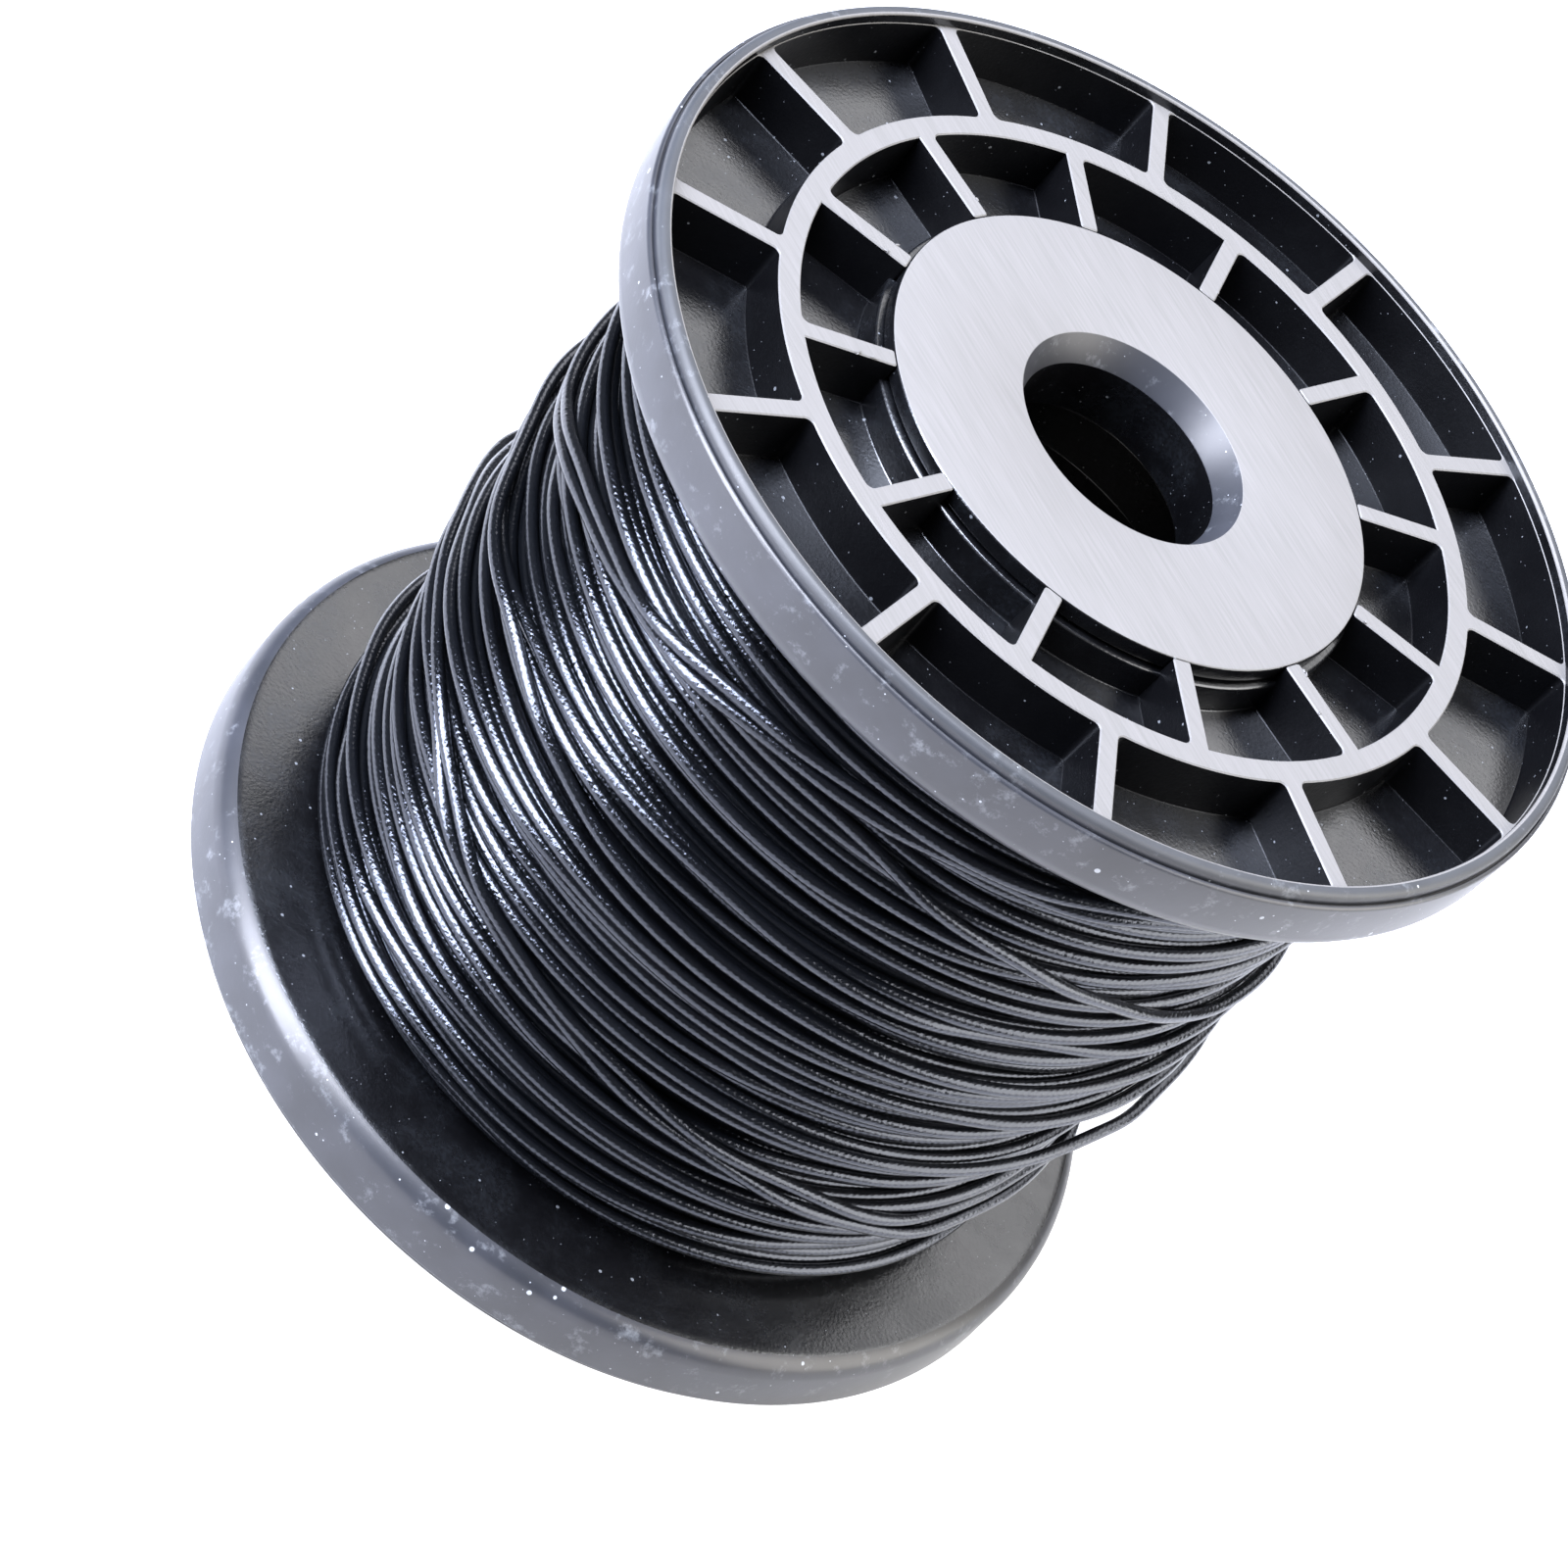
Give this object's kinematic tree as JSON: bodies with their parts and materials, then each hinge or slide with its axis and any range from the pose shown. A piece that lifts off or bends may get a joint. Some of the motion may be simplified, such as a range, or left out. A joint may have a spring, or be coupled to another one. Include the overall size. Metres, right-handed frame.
{
  "type": "racket string reel",
  "caption": "Flanged plastic spool with ribbed end flanges, a ground hub face and an open spindle bore, wound with black twisted racket string.",
  "frame": {"origin": "centre of the plane that the back flange's lip stands on", "axes": "+Z along the spool axis, from the back flange to the front flange; +X and +Y across it, with the first inner rib of the front flange 9 degrees from +X"},
  "size_m": [0.1, 0.1, 0.091],
  "materials": {
    "flange_moulding": "moulded, satin, scuffed on the band and ground grey on the tops",
    "hub_plug": "ground flat, with fine straight scratches",
    "barrel_tube": "moulded, satin",
    "string": "glossy twisted polyester"
  },
  "bodies": {
    "root": {"front_flange": "flange_moulding", "back_flange": "flange_moulding", "front_hub": "hub_plug", "back_hub": "hub_plug", "barrel": "barrel_tube", "string_core": "string", "string_winding": "string"}
  },
  "joints": []
}
